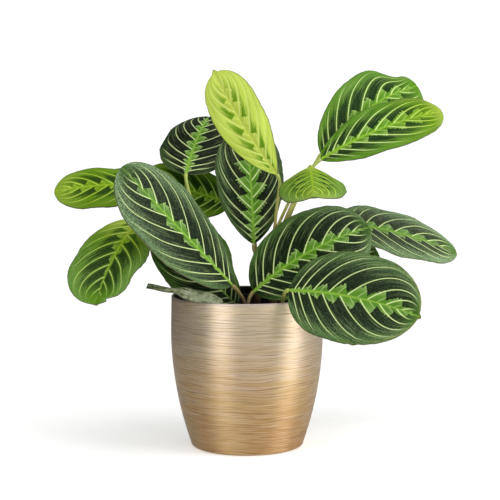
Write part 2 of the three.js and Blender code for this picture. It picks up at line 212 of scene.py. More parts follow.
# The room is white where the lens sees it. The pot and the leaves see it greyer, and darkest on the
# left, where it lies in shade.
world = bpy.data.worlds.new("white_room")
scene.world = world
world.use_nodes = True
room = Wire(world.node_tree)
seen = room.node("LightPath", output="Is Camera Ray")
direction = room.node("TexCoord", output="Generated")
rightward = room.node("SeparateXYZ", sockets={"Vector": direction}, output="X")
unseen_strength = ROOM_ON_LEFT + rightward.step(-0.6, 0.4) * (ROOM_ON_RIGHT - ROOM_ON_LEFT)
room_strength = unseen_strength + seen * (ROOM_SEEN - unseen_strength)
background = world.node_tree.nodes["Background"]
background.inputs["Color"].default_value = ROOM_WHITE
feed(background, "Strength", room_strength)


# The cover pot is spun from thin sheet metal, brass-coloured outside and black inside, and brushed
# round and round by hand, so that its outside is all fine level scratches. Its lip is left plain.
# Sizes are in millimetres from here on, and MM brings them to the scene's metres.
MM = 0.001
POT_HEIGHT = 131
POT_RIM_RADIUS = 65
POT_BELLY_RADIUS = 65.6
POT_BELLY_HEIGHT = 100
POT_BEND = 0.00177
POT_FOOT_RADIUS = 45.5
POT_CORNER_HEIGHT = 3
POT_CORNER_STEPS = 5
POT_WALL = 1.6
POT_FLOOR = 2
POT_WALL_STEPS = 40
POT_LIP_STEPS = 8
POT_TURN_STEPS = 192

# The shares say how strongly each kind of mark shows in the brass. The bright rim is painted light,
# the glints are painted highlights and the rosy blotches are partly painted sheen.
BRUSH_WAVER = 0.005
LONG_LINES_SHARE = 0.62
SHORT_LINES_SHARE = 0.56
PAINTED_GLINTS_SHARE = 0.55
ROSY_SHARE = 0.36
PAINTED_RIM_LIGHT_SHARE = 0.5
WARM_SHARE = 0.5
BRASS_LINE = linear(118, 84, 52)
BRASS_GOLD = linear(200, 168, 121)
BRASS_PALE = linear(231, 217, 195)
# Painted light: the brighter brass just under the rim.
PAINTED_RIM_LIGHT = linear(241, 221, 186)
BRASS_WARM = linear(186, 134, 78)
LIP_GREY = linear(206, 190, 182)
# Painted highlight: the pale lines that stand for scratches catching the light.
PAINTED_GLINT = linear(246, 230, 214)
LACQUER_BLACK = linear(16, 16, 17)
LACQUER_SPECK = linear(30, 29, 29)


def pot_radius(height):
    """The pot's outside at a height: straight above its belly and curved in below it."""
    if height >= POT_BELLY_HEIGHT:
        share = (height - POT_BELLY_HEIGHT) / (POT_HEIGHT - POT_BELLY_HEIGHT)
        return POT_BELLY_RADIUS + share * (POT_RIM_RADIUS - POT_BELLY_RADIUS)
    return POT_BELLY_RADIUS - POT_BEND * (POT_BELLY_HEIGHT - height) ** 2


def spun(profile, steps):
    """A profile of (radius, height) pairs in millimetres, turned round the upright axis."""
    mesh = bmesh.new()
    corners = [mesh.verts.new((radius * MM, 0, height * MM)) for radius, height in profile]
    edges = [mesh.edges.new(pair) for pair in zip(corners, corners[1:])]
    bmesh.ops.spin(
        mesh, geom=corners + edges, cent=(0, 0, 0), axis=(0, 0, 1), angle=2 * math.pi,
        steps=steps, use_merge=True,
    )
    bmesh.ops.remove_doubles(mesh, verts=mesh.verts, dist=1e-6)
    bmesh.ops.recalc_face_normals(mesh, faces=mesh.faces)
    return mesh


pot_lip = POT_WALL / 2
pot_profile = [(0, 0), (POT_FOOT_RADIUS, 0)]
corner_reach = pot_radius(POT_CORNER_HEIGHT) - POT_FOOT_RADIUS
for step in range(1, POT_CORNER_STEPS):
    turn = math.pi / 2 * step / POT_CORNER_STEPS
    pot_profile.append((
        POT_FOOT_RADIUS + corner_reach * math.sin(turn),
        POT_CORNER_HEIGHT * (1 - math.cos(turn)),
    ))
pot_inner = []
for step in range(POT_WALL_STEPS + 1):
    height = POT_CORNER_HEIGHT + (POT_HEIGHT - pot_lip - POT_CORNER_HEIGHT) * step / POT_WALL_STEPS
    pot_profile.append((pot_radius(height), height))
    pot_inner.append((pot_radius(height) - POT_WALL, height))
for step in range(1, POT_LIP_STEPS):
    turn = math.pi * step / POT_LIP_STEPS
    pot_profile.append((
        POT_RIM_RADIUS - pot_lip + pot_lip * math.cos(turn),
        POT_HEIGHT - pot_lip + pot_lip * math.sin(turn),
    ))
pot_profile += pot_inner[::-1] + [(POT_FOOT_RADIUS, POT_FLOOR), (0, POT_FLOOR)]


def mottle(place, scale, detail):
    """A soft noise with about so many spots to the metre."""
    return place.node("TexNoise", sockets={"Vector": place, "Scale": scale, "Detail": detail})


def feed_bump(shader, strength, distance, height):
    """Lets the light fall as if the surface rose and sank with a wire."""
    bump = {"Strength": strength, "Distance": distance, "Height": height}
    feed(shader, "Normal", height.node("Bump", sockets=bump))


brass, brass_shader, wire = new_material(
    "brushed_brass", Metallic=1.0, Anisotropic=0.75, Anisotropic_Rotation=0.25
)
place = wire.node("TexCoord", output="Object")
height = wire.node("SeparateXYZ", sockets={"Vector": place}, output="Z")
# The brush wavers as the pot turns under it, so the scratches rise and fall a little.
level = height + mottle(place, 22.0, 1.0) * BRUSH_WAVER
across_pot = wire.node("VectorMath", {"operation": "MULTIPLY"}, {0: place, 1: (1, 1, 0)})


def from_whole(value):
    """How far a value is from the nearest whole number."""
    return value.maths("PINGPONG", value, 0.5)


def scratches(rise, run, detail):
    """Level scratches: a noise whose height is so many times finer than its run round the pot."""
    lifted = wire.node("CombineXYZ", sockets={"Z": level * rise})
    drawn = wire.node("VectorMath", {"operation": "SCALE"}, {0: across_pot, "Scale": run})
    where = wire.node("VectorMath", {"operation": "ADD"}, {0: drawn, 1: lifted})
    return wire.node(
        "TexNoise",
        sockets={"Vector": where, "Scale": 1.0, "Detail": detail, "Roughness": 0.55},
    )


def brushed_lines(spacing, thickness, run):
    """Thin lines so far apart, that crowd and part and break off after a few centimetres."""
    crowded = scratches(0.4 / spacing, run * 0.4, 0.0) * spacing * 2.2
    from_line = from_whole((level + crowded) / spacing)
    unbroken = scratches(0.8 / spacing, run, 1.0).step(0.40, 0.66)
    return from_line.step(thickness, 0.0) * unbroken


hairlines = scratches(rise=3400, run=40, detail=2.0)
long_lines = brushed_lines(spacing=0.0023, thickness=0.16, run=26)
short_lines = brushed_lines(spacing=0.0014, thickness=0.22, run=60)
# Painted highlights: pale broken lines that stand for scratches catching the light.
painted_glints = brushed_lines(spacing=0.0018, thickness=0.18, run=40)
bands = scratches(rise=170, run=16, detail=2.0)
blotches = mottle(place, 22.0, 2.0)

# Painted light: the brass is painted paler towards the rim, and brighter still just under it, as if
# the upper pot were lit more. Lower down it stays gold, and it is warmer in blotches by the foot. The
# rosy blotches towards the rim are partly wear and partly painted sheen. The plain lip is grey.
painted_light_upwards = height.step(0.02, 0.13)
painted_light_by_rim = height.step(0.104, 0.130)
by_foot = height.step(0.075, 0.0)
on_lip = height.step((POT_HEIGHT - POT_WALL) * MM, (POT_HEIGHT - pot_lip) * MM)
pale = painted_light_upwards * 0.68 + (bands - 0.5) * 1.1 + (hairlines - 0.5) * 0.6
rosy = bands.step(0.38, 0.80) * blotches.step(0.60, 0.34) * painted_light_upwards
warm = by_foot * blotches.step(0.40, 0.66)
colour = wire.mix(pale, BRASS_GOLD, BRASS_PALE)
colour = wire.mix(painted_light_by_rim * PAINTED_RIM_LIGHT_SHARE, colour, PAINTED_RIM_LIGHT)
colour = wire.mix(rosy * ROSY_SHARE, colour, LIP_GREY)
colour = wire.mix(warm * WARM_SHARE, colour, BRASS_WARM)
colour = wire.mix(long_lines * LONG_LINES_SHARE, colour, BRASS_LINE)
colour = wire.mix(short_lines * SHORT_LINES_SHARE, colour, BRASS_LINE)
colour = wire.mix(painted_glints * PAINTED_GLINTS_SHARE, colour, PAINTED_GLINT)
colour = wire.mix(on_lip, colour, LIP_GREY)
feed(brass_shader, "Base Color", colour)
feed(brass_shader, "Roughness", 0.36 + hairlines * 0.1 + bands * 0.16)
feed_bump(brass_shader, 0.25, 0.0003, hairlines * 0.5 - long_lines * 0.4 - short_lines * 0.3)

lacquer, lacquer_shader, wire = new_material("black_lacquer", Roughness=0.5)
place = wire.node("TexCoord", output="Object")
specks = mottle(place, 900.0, 2.0)
feed(lacquer_shader, "Base Color", wire.mix(specks, LACQUER_BLACK, LACQUER_SPECK))
feed(lacquer_shader, "Roughness", 0.42 + specks * 0.2)

pot_mesh = spun(pot_profile, POT_TURN_STEPS)
for face in pot_mesh.faces:
    middle = face.calc_center_median() / MM
    wall_middle = pot_radius(middle.z) - POT_WALL / 2
    inside = middle.z > POT_FLOOR / 2 and math.hypot(middle.x, middle.y) < wall_middle
    face.material_index = 1 if inside and middle.z < POT_HEIGHT - pot_lip else 0
cover_pot = new_piece("cover_pot", pot_mesh, [brass, lacquer])
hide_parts("pot")
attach(cover_pot, "root")


# The nursery pot is moulded in thin black plastic, with a collar round its rim that stiffens it and
# drain holes in its floor. It stands loose in the cover pot.
NURSERY_FOOT_RADIUS = 44
NURSERY_TOP_RADIUS = 58.5
NURSERY_COLLAR_RADIUS = 61
NURSERY_RIM_HEIGHT = 124
NURSERY_COLLAR_DEPTH = 8
NURSERY_WALL = 1
NURSERY_FLOOR_BOTTOM = 2.3
NURSERY_ROUNDING = 0.45
NURSERY_TURN_STEPS = 96
DRAIN_HOLES = 6
DRAIN_RADIUS = 4
DRAIN_CIRCLE = 28
DRAIN_TOOL_SIDES = 32
DRAIN_TOOL_DEPTH = 12
PLASTIC_BLACK = linear(24, 24, 26)
PLASTIC_DUSTY = linear(52, 48, 44)


def nursery_inside(height):
    """The radius of the nursery pot's inside at a height."""
    share = (height - NURSERY_FLOOR_BOTTOM) / (NURSERY_RIM_HEIGHT - NURSERY_FLOOR_BOTTOM)
    return NURSERY_FOOT_RADIUS + share * (NURSERY_TOP_RADIUS - NURSERY_FOOT_RADIUS) - NURSERY_WALL


nursery_floor = NURSERY_FLOOR_BOTTOM + NURSERY_WALL
collar_bottom = NURSERY_RIM_HEIGHT - NURSERY_COLLAR_DEPTH
rounded = NURSERY_ROUNDING
nursery_mesh = spun([
    (0, NURSERY_FLOOR_BOTTOM),
    (NURSERY_FOOT_RADIUS - rounded, NURSERY_FLOOR_BOTTOM),
    (NURSERY_FOOT_RADIUS, NURSERY_FLOOR_BOTTOM + rounded),
    (nursery_inside(collar_bottom) + NURSERY_WALL, collar_bottom),
    (NURSERY_COLLAR_RADIUS - rounded, collar_bottom),
    (NURSERY_COLLAR_RADIUS, NURSERY_RIM_HEIGHT - rounded),
    (NURSERY_COLLAR_RADIUS - rounded, NURSERY_RIM_HEIGHT),
    (nursery_inside(NURSERY_RIM_HEIGHT) + rounded, NURSERY_RIM_HEIGHT),
    (nursery_inside(NURSERY_RIM_HEIGHT), NURSERY_RIM_HEIGHT - rounded),
    (nursery_inside(nursery_floor), nursery_floor),
    (0, nursery_floor),
], NURSERY_TURN_STEPS)

plastic, plastic_shader, wire = new_material("black_plastic", Roughness=0.5)
place = wire.node("TexCoord", output="Object")
grain = mottle(place, 1400.0, 2.0)
dust = mottle(place, 60.0, 4.0)
feed(plastic_shader, "Base Color", wire.mix(dust.step(0.45, 0.75), PLASTIC_BLACK, PLASTIC_DUSTY))
feed(plastic_shader, "Roughness", 0.42 + dust * 0.25)
feed_bump(plastic_shader, 0.2, 0.0002, grain)
nursery_pot = new_piece("inner_pot", nursery_mesh, [plastic], smooth=False)

drain_mesh = bmesh.new()
for hole in range(DRAIN_HOLES):
    turn = 2 * math.pi * hole / DRAIN_HOLES
    middle = Vector((math.cos(turn), math.sin(turn), 0)) * DRAIN_CIRCLE * MM
    bmesh.ops.create_cone(
        drain_mesh, cap_ends=True, segments=DRAIN_TOOL_SIDES, radius1=DRAIN_RADIUS * MM,
        radius2=DRAIN_RADIUS * MM, depth=DRAIN_TOOL_DEPTH * MM, matrix=Matrix.Translation(middle),
    )
drain_tool = new_piece("drain_tool", drain_mesh, [])
cut = nursery_pot.modifiers.new("drain_holes", "BOOLEAN")
cut.operation = "DIFFERENCE"
cut.object = drain_tool
bored = bpy.data.meshes.new_from_object(
    nursery_pot.evaluated_get(bpy.context.evaluated_depsgraph_get())
)
nursery_pot.modifiers.clear()
nursery_pot.data = bored
bpy.data.objects.remove(drain_tool)
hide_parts("nursery_pot")
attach(nursery_pot, "root")


# The potting soil is peat with bits of bark, pressed down round the stems. Its top is lumpy and lies
# a finger's breadth under the nursery pot's rim.
SOIL_TOP = 113
SOIL_GAP = 0.3
SOIL_LUMP = 1.6
SOIL_BROAD_WAVE = 0.2
SOIL_FINE_WAVE = 0.33
SOIL_FINE_SHARE = 0.6
SOIL_CRUMBLE = 0.7
SOIL_CRUMBLE_FINENESS = 0.45
SOIL_LEVEL_BORDER = 0.25
SOIL_RINGS = 36
SOIL_TURN_STEPS = 96
SOIL_SEED = 11
CRUMBS = 900
BARK_BITS = 90
BITS_STAND_PROUD = 0.2
PEAT_DARK = linear(26, 20, 15)
PEAT_PALE = linear(70, 54, 40)
PEAT_DAMP = linear(30, 24, 20)
BARK_BROWN = linear(128, 92, 62)

soil_edge = nursery_inside(SOIL_TOP) - SOIL_GAP


def soil_height(x, y):
    """The height of the lumpy top, which is level at its edge."""
    broad = math.sin(x * SOIL_BROAD_WAVE + 1) * math.cos(y * SOIL_BROAD_WAVE)
    fine = math.sin((y - x / 3) * SOIL_FINE_WAVE)
    inward = 1 - math.hypot(x, y) / soil_edge
    level = min(1, inward / SOIL_LEVEL_BORDER)
    crumbly = noise.noise(Vector((x, y, 0)) * SOIL_CRUMBLE_FINENESS) * SOIL_CRUMBLE
    return SOIL_TOP + (SOIL_LUMP * (broad + SOIL_FINE_SHARE * fine) + crumbly) * level


soil_bottom = nursery_floor + SOIL_GAP
soil_profile = [(0, soil_bottom), (nursery_inside(soil_bottom) - SOIL_GAP, soil_bottom)]
for ring in range(SOIL_RINGS + 1):
    soil_profile.append((soil_edge * (1 - ring / SOIL_RINGS), SOIL_TOP))
soil_mesh = spun(soil_profile, SOIL_TURN_STEPS)
for vert in soil_mesh.verts:
    if vert.co.z > (SOIL_TOP - 1) * MM:
        vert.co.z = soil_height(vert.co.x / MM, vert.co.y / MM) * MM

bark_tone = soil_mesh.verts.layers.float.new("bark")
chance = random.Random(SOIL_SEED)


def scatter(count, smallest, largest, bark):
    """Bits of a size drawn between two, each squashed, turned and half sunk in the soil's top."""
    for _ in range(count):
        size = chance.uniform(smallest, largest)
        reach = (soil_edge - largest) * math.sqrt(chance.random())
        turn = chance.uniform(0, 2 * math.pi)
        x = reach * math.cos(turn)
        y = reach * math.sin(turn)
        middle = Vector((x, y, soil_height(x, y) + size * BITS_STAND_PROUD)) * MM
        spin = Euler([chance.uniform(-0.5, 0.5), chance.uniform(-0.5, 0.5), turn * 3])
        flat = Matrix.Diagonal((1, chance.uniform(0.5, 0.9), chance.uniform(0.35, 0.8), 1))
        made = bmesh.ops.create_icosphere(
            soil_mesh, subdivisions=1, radius=size * MM,
            matrix=Matrix.Translation(middle) @ spin.to_matrix().to_4x4() @ flat,
        )
        for vert in made["verts"]:
            vert[bark_tone] = bark


scatter(CRUMBS, smallest=0.5, largest=1.3, bark=0.0)
scatter(BARK_BITS, smallest=1.2, largest=2.6, bark=1.0)


def kept_value(wire, layer):
    """A value that the vertices of a piece keep, such as how far along a blade they lie."""
    return wire.node("Attribute", {"attribute_name": layer}, output="Fac")


peat, peat_shader, wire = new_material("potting_soil", Roughness=0.95)
place = wire.node("TexCoord", output="Object")
crumble = mottle(place, 260.0, 4.0)
damp = mottle(place, 40.0, 2.0)
colour = wire.mix(crumble.step(0.35, 0.7), PEAT_DARK, PEAT_PALE)
colour = wire.mix(damp * 0.5, colour, PEAT_DAMP)
colour = wire.mix(kept_value(wire, "bark") * crumble, colour, BARK_BROWN)
feed(peat_shader, "Base Color", colour)
feed_bump(peat_shader, 0.7, 0.0006, crumble)
soil = new_piece("potting_soil", soil_mesh, [peat], smooth=False)
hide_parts("soil")
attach(soil, "root")


# The leaf blades are thin, oval and satin. Each is folded a little along its midrib, cupped and
# bent over by its own weight, and rides on a stalk. Most are old and dark, with a jagged lime band
# along the midrib and pale veins that sweep to the tip; the young ones are bright or all lemon.
BLADE_THICKNESS = 0.8
KEEL_THICKNESS = 1.6
KEEL_WIDTH = 2.2
BLADE_BASE_HALF_WIDTH = 1.3
BLADE_TIP_HALF_WIDTH = 0.5
BLADE_WIDEST = 0.52
OUTLINE_POWER = 2.3
OUTLINE_ROOT = 1.9
MARGIN_WAVE = 1.0
MARGIN_WAVES = 2.5
MARGIN_NIBBLE = 0.018
MARGIN_NIBBLES = 24
BLADE_SLOTS = ("top", "underside", "margin")
BLADE_ROWS = 120
BLADE_COLUMNS = 64

# Each leaf gives the place of its base, the way it heads, rises and rolls there, how far it droops,
# sweeps and twists by its tip, its length and width, and how its halves fold up and cup down, all in
# millimetres and degrees. A dent has its place along the blade, its side (1 left, -1 right), its depth
# as a share of the half and its length. A tail has its start and its half widths there and at its end.
# Given for base, middle and tip are the age (about 0 old and dark, 1 all lemon), the lime band's share
# of the half blade and the silvery bloom, which is partly real bloom and partly painted sheen. Dry,
# faded and crumple stand for a dried margin, a withered blade and a creased one.
LEAVES = {
    "lemon_top": dict(
        at=(26, -15, 235), heading=150, rise=50, roll=-80, droop=7, sweep=-7,
        length=112.5, width=46, widest=0.63, fold=8, cup=20, tail=(0.97, 2.8, 0.5),
        age=(1.0, 1.0, 1.0), band=(0.18, 0.36, 0.30), bloom_and_sheen=(0.0, 0.0, 0.1), dry=0.15,
    ),
    "upper_left": dict(
        at=(-52, 8, 235), heading=73, rise=50, roll=10, droop=37,
        length=94, width=67, widest=0.49, fold=2, cup=24, dents=((0.66, 1, 0.12, 0.25),),
        age=(0.05, -0.3, -0.3), band=(0.22, 0.25, 0.14), bloom_and_sheen=(0.1, 0.05, 0.15),
    ),
    "lime_left": dict(
        at=(-81, 0, 227), heading=181, rise=1, roll=-40, droop=14, twist=-4,
        length=85, width=52, fold=7, cup=20, dents=((0.45, -1, 0.16, 0.3),),
        age=(0.62, 0.76, 0.84), band=(0.16, 0.26, 0.34), bloom_and_sheen=(0.0, 0.0, 0.1),
    ),
    "front_left": dict(
        at=(-12, -40, 144), heading=193, rise=47, roll=-44, droop=5, sweep=-7, twist=-14,
        length=135, width=75, widest=0.54, fold=7, cup=20,
        age=(0.08, 0.0, 0.0), band=(0.07, 0.22, 0.18), bloom_and_sheen=(0.3, 0.45, 1.2),
    ),
    "hanging_left": dict(
        at=(-92, -25, 197), heading=223, rise=-44, roll=-16, droop=1, sweep=24,
        length=89, width=70, fold=14, cup=16,
        dents=((0.25, -1, 0.08, 0.2), (0.68, 1, 0.15, 0.2), (0.955, 1, 0.4, 0.018)),
        age=(0.94, 0.64, 0.58), band=(0.46, 0.08, 0.0), bloom_and_sheen=(0.0, 0.3, 0.4),
    ),
    "centre": dict(
        at=(6, 10, 174), heading=100, rise=85, roll=8, droop=3, sweep=5,
        length=101, width=62, widest=0.6, fold=7, cup=21,
        age=(0.1, -0.15, -0.2), band=(0.52, 0.44, 0.40), bloom_and_sheen=(0.05, 0.16, 0.28),
    ),
    "back_top_right": dict(
        at=(65, 20, 251), heading=21, rise=50, roll=51, droop=38, sweep=-21,
        length=122, width=70, widest=0.61, fold=9, cup=19,
        dents=((0.88, 1, 0.42, 0.1), (0.3, 1, 0.08, 0.2)),
        age=(0.52, 0.46, 0.50), band=(0.10, 0.26, 0.34), bloom_and_sheen=(0.1, 0.1, 0.2),
    ),
    "front_top_right": dict(
        at=(64, 4, 247), heading=1, rise=32, roll=55, droop=35, sweep=-3,
        length=120, width=49, widest=0.58, fold=10, cup=19,
        age=(0.48, 0.46, 0.88), band=(0.22, 0.38, 0.40), bloom_and_sheen=(0.0, 0.0, 0.1), dry=0.3,
    ),
    "small_right": dict(
        at=(55, -5, 241), heading=-91, rise=-11, droop=21, sweep=3, twist=6,
        length=61, width=62, fold=-9, cup=27,
        age=(0.84, 0.72, 0.84), band=(0.58, 0.56, 0.5), bloom_and_sheen=(0.1, 0.3, 0.5),
    ),
    "mid_right": dict(
        at=(6, -20, 136), heading=0, rise=42, roll=68, droop=40, sweep=-16,
        length=120, width=71, fold=9, cup=19,
        age=(0.12, 0.06, 0.04), band=(0.12, 0.26, 0.18), bloom_and_sheen=(0.0, 0.1, 0.6),
    ),
    "front_right": dict(
        at=(35, -62, 142), heading=-23, rise=2, roll=53, droop=18, sweep=-14,
        length=113, width=84, widest=0.48, fold=9, cup=19, tail=(0.982, 2.6, 0.5),
        age=(0.12, 0.08, 0.12), band=(0.10, 0.28, 0.32), bloom_and_sheen=(0.3, 0.3, 0.4), dry=0.4,
    ),
    "far_right": dict(
        at=(85, 36, 190), heading=23, rise=-8, roll=37, droop=10, sweep=-10,
        length=119, width=66, widest=0.46, fold=9, cup=19, dents=((0.5, 1, 0.06, 0.3),),
        age=(0.12, 0.08, 0.24), band=(0.24, 0.24, 0.12), bloom_and_sheen=(0.5, 0.9, 1.4), faded=0.05,
    ),
    "under_right": dict(
        at=(53, 2, 154), heading=19, rise=9, roll=64, droop=30,
        length=79, width=53, fold=11, cup=17,
        age=(0.25, 0.2, 0.2), band=(0.2, 0.3, 0.3), bloom_and_sheen=(0.2, 0.2, 0.3),
    ),
    "low_left": dict(
        at=(-9, -15, 124), heading=183, rise=47, roll=-76, droop=6,
        length=94, width=64, widest=0.56, fold=8, cup=15,
        dents=((0.2, -1, 0.24, 0.16), (0.7, 1, 0.1, 0.2)),
        age=(0.05, 0.1, 0.1), band=(0.0, 0.08, 0.2), bloom_and_sheen=(0.0, 0.0, 0.0),
    ),
    "behind_left": dict(
        at=(-14, 32, 208), heading=182, rise=18, roll=-50, droop=10,
        length=83, width=58, fold=8, cup=19,
        age=(0.68, 0.64, 0.6), band=(0.24, 0.30, 0.3), bloom_and_sheen=(0.0, 0.0, 0.0),
    ),
    "rim_left": dict(
        at=(-20, -38, 127.2), heading=181, rise=20, roll=-54, droop=23, twist=8,
        length=67, width=13.5, widest=0.42, fold=12, cup=12, tail=(0.64, 2.5, 2.5),
        age=(0.1, 0.1, 0.1), band=(0.1, 0.1, 0.1), bloom_and_sheen=(0.5, 0.5, 0.5), faded=1.0, crumple=2.5,
    ),
    "back_left": dict(
        at=(-38, 46, 196), heading=145, rise=18, roll=45, droop=28,
        length=96, width=58, fold=8, cup=20,
        age=(0.5, 0.42, 0.5), band=(0.24, 0.32, 0.34), bloom_and_sheen=(0.1, 0.1, 0.3),
    ),
    "back_centre": dict(
        at=(6, 46, 200), heading=88, rise=30, droop=50,
        length=108, width=62, fold=8, cup=20,
        age=(0.12, 0.02, 0.05), band=(0.2, 0.32, 0.3), bloom_and_sheen=(0.2, 0.3, 0.6),
    ),
    "back_right": dict(
        at=(46, 52, 166), heading=50, rise=12, roll=-42, droop=30,
        length=108, width=64, fold=8, cup=20,
        age=(0.1, 0.03, 0.08), band=(0.18, 0.3, 0.34), bloom_and_sheen=(0.2, 0.2, 0.5),
    ),
    "back_low_left": dict(
        at=(-18, 54, 145), heading=122, rise=8, roll=32, droop=34,
        length=80, width=52, fold=8, cup=20,
        age=(0.15, 0.08, 0.1), band=(0.2, 0.3, 0.3), bloom_and_sheen=(0.2, 0.3, 0.5),
    ),
    "back_low_right": dict(
        at=(36, 54, 146), heading=48, rise=8, roll=-30, droop=36,
        length=92, width=58, fold=8, cup=20,
        age=(0.08, 0.02, 0.05), band=(0.15, 0.3, 0.3), bloom_and_sheen=(0.2, 0.2, 0.4),
    ),
}


def along_three(values, along):
    """The value at a share of a blade's length, from those at its base, middle and tip."""
    base, middle, tip = values
    if along < 0.5:
        return base + (middle - base) * along * 2
    return middle + (tip - middle) * (along * 2 - 1)


def blade_directions(leaf, along):
    """A blade's directions at a share of its length: its midrib, its left side and its face."""
    heading = math.radians(leaf["heading"])
    rise = math.radians(leaf["rise"])
    forward = Vector((
        math.cos(rise) * math.cos(heading),
        math.cos(rise) * math.sin(heading),
        math.sin(rise),
    ))
    roll = Matrix.Rotation(math.radians(leaf.get("roll", 0)), 3, forward)
    left = roll @ Vector((-math.sin(heading), math.cos(heading), 0))
    out = forward.cross(left)
    droop = math.radians(leaf.get("droop", 0)) * along
    sweep = math.radians(leaf.get("sweep", 0)) * along
    midrib = (
        forward * math.cos(droop) * math.cos(sweep)
        + left * math.cos(droop) * math.sin(sweep)
        - out * math.sin(droop)
    )
    side = left * math.cos(sweep) - forward * math.sin(sweep)
    side = Matrix.Rotation(math.radians(leaf.get("twist", 0)) * along, 3, midrib) @ side
    return midrib, side, midrib.cross(side).normalized()


def blade_half_width(leaf, along):
    """Half a blade's width: an oval, and past it the narrow tail or point that some blades end in."""
    start, tail_half, tip_half = leaf.get("tail", (1.0, BLADE_TIP_HALF_WIDTH, BLADE_TIP_HALF_WIDTH))
    if along > start:
        return tail_half + (tip_half - tail_half) * (along - start) / (1 - start)
    within = along / start
    shifted = within ** (math.log(0.5) / math.log(leaf.get("widest", BLADE_WIDEST)))
    oval = max(0, 1 - abs(2 * shifted - 1) ** OUTLINE_POWER) ** (1 / OUTLINE_ROOT)
    least = BLADE_BASE_HALF_WIDTH + within * (tail_half - BLADE_BASE_HALF_WIDTH)
    return max(least, leaf["width"] / 2 * oval)


def margin_share(leaf, along, half_side):
    """How much of its width one half of a blade keeps where it is dented or torn."""
    share = 1.0
    for place, side, depth, length in leaf.get("dents", ()):
        if side == half_side:
            share -= depth * math.exp(-((along - place) / length) ** 2)
    return share


# A vein leaves the midrib at a slant and bends over towards the tip, the more so the further out it
# starts. The count is a whole number on each vein, so it tells how far between two veins a place is.
VEIN_REACH = 0.93
VEIN_SLANT = 0.06
VEIN_SLANT_GROWTH = 0.75
VEIN_SLANT_EASE = 0.45
VEINS_AT_BASE = 1.7
VEINS_CROWDING = 0.05
VEINS_AT_TIP = 2.4
VEINS_TIP_CROWDING = 0.85
VEIN_STAGGER = 0.35
VEIN_GAP_MOST = 50
VEIN_GAP_STEP = 0.004
OUTLINE_END = 0.02


def vein_count(along, across):
    """How many veins leave the midrib before the one that runs through a place on the blade."""
    bend = -math.log(1 - VEIN_REACH * abs(across))
    ease = VEIN_SLANT_EASE * bend
    growth = 1 + VEIN_SLANT_GROWTH * bend
    rest = max(0.0, along - VEIN_SLANT * bend)
    root = 2 * rest / (growth + math.sqrt(max(0.0, growth ** 2 - 4 * ease * rest)))
    count = VEINS_AT_BASE * math.log(1 + root / VEINS_CROWDING)
    return count - VEINS_AT_TIP * math.log(1 - VEINS_TIP_CROWDING * min(root, 1.0))


def vein_gap(leaf, along, across):
    """The distance in millimetres from one vein to the next, at a place on the blade."""
    tiny = VEIN_GAP_STEP
    out = max(tiny * 2, min(abs(across), 1 - tiny))
    by_along = (vein_count(along + tiny, out) - vein_count(along - tiny, out)) / (2 * tiny)
    by_out = (vein_count(along, out + tiny) - vein_count(along, out - tiny)) / (2 * tiny)
    # The outline turns too fast at the very ends for its slope to be measured there.
    inner = min(max(along, OUTLINE_END), 1 - OUTLINE_END - tiny)
    half = blade_half_width(leaf, inner)
    slope = (blade_half_width(leaf, inner + tiny) - half) / tiny
    sideways = by_out / half
    lengthways = (by_along - sideways * out * slope) / leaf["length"]
    return 1 / max(1 / VEIN_GAP_MOST, math.hypot(sideways, lengthways))


QUILT_DEPTH = 0.28
QUILT_WIDTH = 1.3
QUILT_RISES = 8
QUILT_FALLS = 6
QUILT_REACH = 0.94
RIB_GROOVE_DEPTH = 0.35
RIB_GROOVE_WIDTH = 1.4
RIPPLE = 0.55
RIPPLE_SIZE = 14
RIPPLE_AT_RIB = 0.25
RIPPLE_RISES = 8


